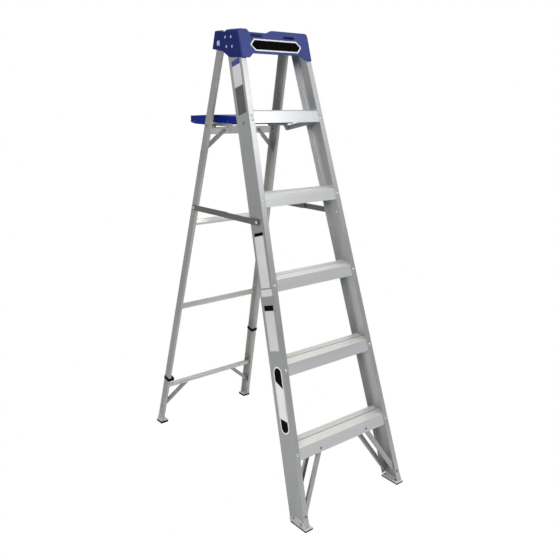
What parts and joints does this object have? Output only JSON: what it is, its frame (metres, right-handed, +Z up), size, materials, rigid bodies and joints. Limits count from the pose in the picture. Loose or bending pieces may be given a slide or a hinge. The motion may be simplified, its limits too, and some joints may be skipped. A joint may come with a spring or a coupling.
{
  "type": "step ladder",
  "caption": "Folding step ladder with channel rails, ribbed treads, a moulded cap, folding spreaders and a fold-down pail shelf.",
  "frame": {"origin": "centre of the open ladder's bounding box in plan, on the floor", "axes": "+Z up, +Y from the climbing side to the rear section, +X to the right seen from the climbing side"},
  "size_m": [0.527, 1.0554, 1.722],
  "materials": {
    "rail": "satin extruded",
    "aluminium": "satin extruded",
    "steel": "zinc plated",
    "rivet": "bright",
    "blue_plastic": "moulded, semi-gloss",
    "black_plastic": "matt",
    "rubber": "matt ribbed"
  },
  "bodies": {
    "ladder": {"front_rail_left": "rail", "front_rail_right": "rail", "top_cap": "blue_plastic", "badge_plate": "black_plastic", "step_1": "aluminium", "step_2": "aluminium", "step_3": "aluminium", "step_4": "aluminium", "step_5": "aluminium", "step_rivets": "rivet", "cap_rivets": "rivet", "fold_pivots": "rivet", "front_brace_left": "aluminium", "front_brace_right": "aluminium", "back_brace_left": "aluminium", "back_brace_right": "aluminium", "brace_rivets": "rivet", "front_shoe_left": "aluminium", "front_shoe_right": "aluminium", "front_sole_left": "rubber", "front_sole_right": "rubber", "front_shoe_rivets": "rivet", "spreader_front_pins": "rivet", "arm_pins": "rivet"},
    "rear_section": {"rear_rail_left": "rail", "rear_rail_right": "rail", "top_rear_bar": "aluminium", "second_rear_bar": "aluminium", "third_rear_bar": "aluminium", "bottom_rear_bar": "aluminium", "upper_knee_left": "steel", "upper_knee_right": "steel", "lower_knee_left": "steel", "lower_knee_right": "steel", "rear_bar_rivets": "rivet", "knee_rivets": "rivet", "rear_shoe_left": "aluminium", "rear_shoe_right": "aluminium", "rear_sole_left": "rubber", "rear_sole_right": "rubber", "rear_shoe_rivets": "rivet", "rail_bands": "black_plastic", "spreader_rear_pins": "rivet", "shelf_pins": "rivet"},
    "spreader_front_left": {"spreader_front_bar_left": "steel"},
    "spreader_rear_left": {"spreader_rear_bar_left": "steel"},
    "shelf_arm_body_left": {"shelf_arm_left": "steel"},
    "spreader_front_right": {"spreader_front_bar_right": "steel"},
    "spreader_rear_right": {"spreader_rear_bar_right": "steel"},
    "shelf_arm_body_right": {"shelf_arm_right": "steel"},
    "shelf": {"shelf_tray": "blue_plastic", "shelf_bracket_left": "steel", "shelf_bracket_right": "steel", "shelf_rivets": "rivet"}
  },
  "joints": [
    {"name": "fold", "type": "hinge", "parent": "ladder", "child": "rear_section", "pos_m": [0, 0.13959, 1.673], "axis": [1, 0, 0], "range_deg": [-30.3, 0]},
    {"name": "spreader_front_hinge_left", "type": "hinge", "parent": "ladder", "child": "spreader_front_left", "pos_m": [-0.19945, -0.1487, 1.052], "axis": [0.9985, -0.0168, -0.052], "range_deg": [-88.14, 0]},
    {"name": "spreader_rear_hinge_left", "type": "hinge", "parent": "rear_section", "child": "spreader_rear_left", "pos_m": [-0.19614, 0.2781, 1.043], "axis": [0.9985, 0.0117, -0.0533], "range_deg": [0, 98.66]},
    {"name": "spreader_front_hinge_right", "type": "hinge", "parent": "ladder", "child": "spreader_front_right", "pos_m": [0.19945, -0.1487, 1.052], "axis": [0.9985, 0.0168, 0.052], "range_deg": [-88.14, 0]},
    {"name": "spreader_rear_hinge_right", "type": "hinge", "parent": "rear_section", "child": "spreader_rear_right", "pos_m": [0.19614, 0.2781, 1.043], "axis": [0.9985, -0.0117, 0.0533], "range_deg": [0, 98.66]},
    {"name": "shelf_hinge", "type": "hinge", "parent": "rear_section", "child": "shelf", "pos_m": [0, 0.21201, 1.37152], "axis": [1, 0, 0], "range_deg": [0, 102.4]},
    {"name": "shelf_arm_hinge_left", "type": "hinge", "parent": "ladder", "child": "shelf_arm_body_left", "pos_m": [-0.17968, -0.03235, 1.39446], "axis": [1, 0, 0], "range_deg": [-52.96, 0]},
    {"name": "shelf_arm_hinge_right", "type": "hinge", "parent": "ladder", "child": "shelf_arm_body_right", "pos_m": [0.17968, -0.03235, 1.39446], "axis": [1, 0, 0], "range_deg": [-52.96, 0]}
  ],
  "couplings": [
    {"joint": "spreader_front_hinge_left", "follows": "fold", "ratio": 2.9087},
    {"joint": "spreader_rear_hinge_left", "follows": "fold", "ratio": -3.2562},
    {"joint": "spreader_front_hinge_right", "follows": "fold", "ratio": 2.9087},
    {"joint": "spreader_rear_hinge_right", "follows": "fold", "ratio": -3.2562},
    {"joint": "shelf_hinge", "follows": "fold", "ratio": -3.3795},
    {"joint": "shelf_arm_hinge_left", "follows": "fold", "ratio": 1.7478},
    {"joint": "shelf_arm_hinge_right", "follows": "fold", "ratio": 1.7478}
  ]
}
